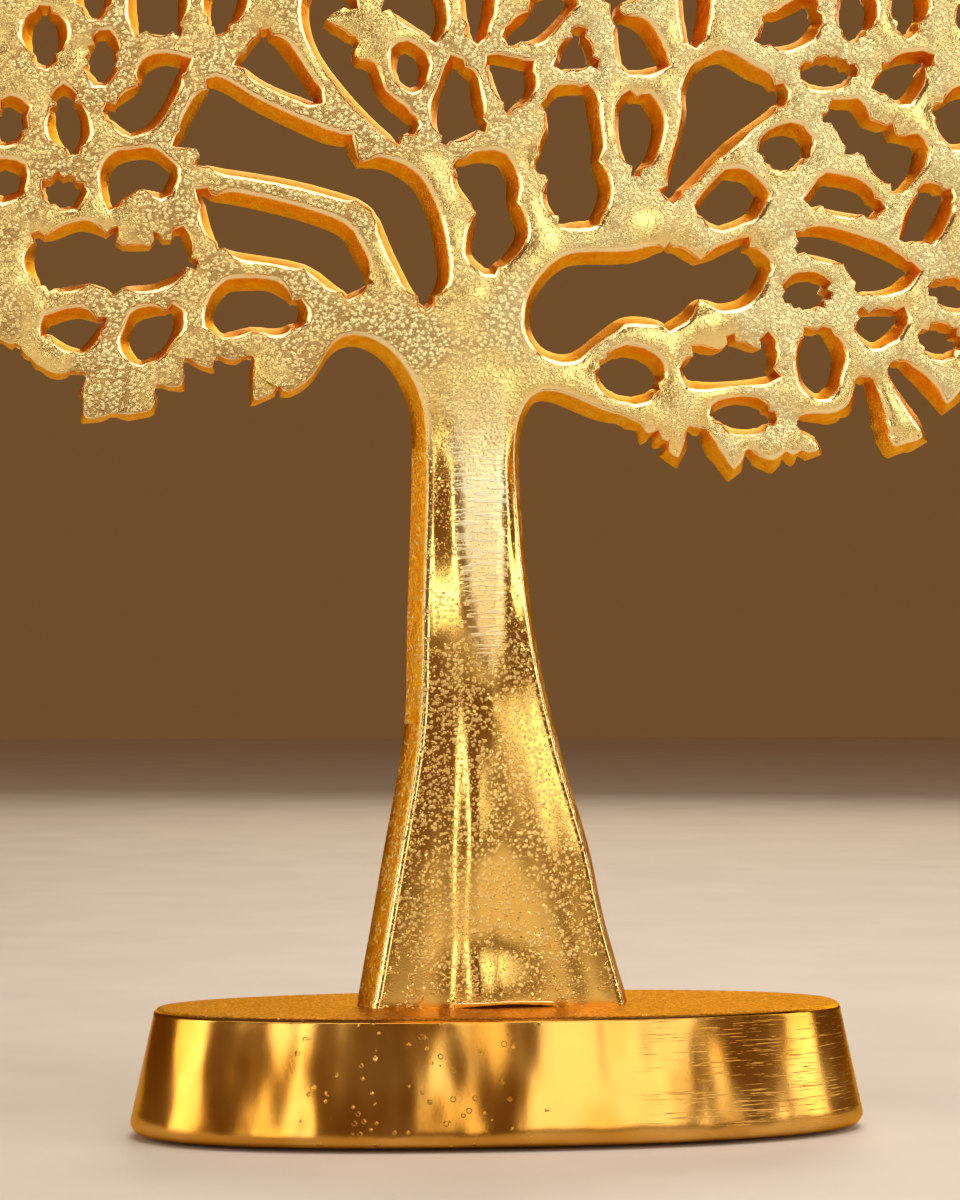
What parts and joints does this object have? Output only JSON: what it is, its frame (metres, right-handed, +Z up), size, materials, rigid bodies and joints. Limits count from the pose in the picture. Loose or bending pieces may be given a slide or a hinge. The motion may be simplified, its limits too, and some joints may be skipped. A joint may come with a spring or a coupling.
{
  "type": "tree of life ornament",
  "caption": "Free-standing cast metal tree of life with a flat pierced round crown and flaring trunk, screwed to a hollow oval foot on thin pads",
  "frame": {"origin": "middle of the bounding box, on the resting surface under the pads", "axes": "+X to the right across the crown, +Y to the back through the plate, +Z up"},
  "size_m": [0.25, 0.06, 0.3565],
  "materials": {
    "crown_gold": "sand-cast aluminium with a gold-coloured finish, grainy face with polished rims and trunk",
    "foot_gold": "cast aluminium with a gold-coloured finish, polished side and grainy top",
    "screw_steel": "zinc-plated",
    "washer_steel": "zinc-plated",
    "spring_steel": "zinc-plated spring steel",
    "pad_rubber": "matt dark pads"
  },
  "bodies": {
    "root": {"tree_casting": "crown_gold", "base_casting": "foot_gold", "fixing_screws": "screw_steel", "plain_washers": "washer_steel", "lock_washers": "spring_steel", "pad_front_left": "pad_rubber", "pad_front_right": "pad_rubber", "pad_back_left": "pad_rubber", "pad_back_right": "pad_rubber"}
  },
  "joints": []
}
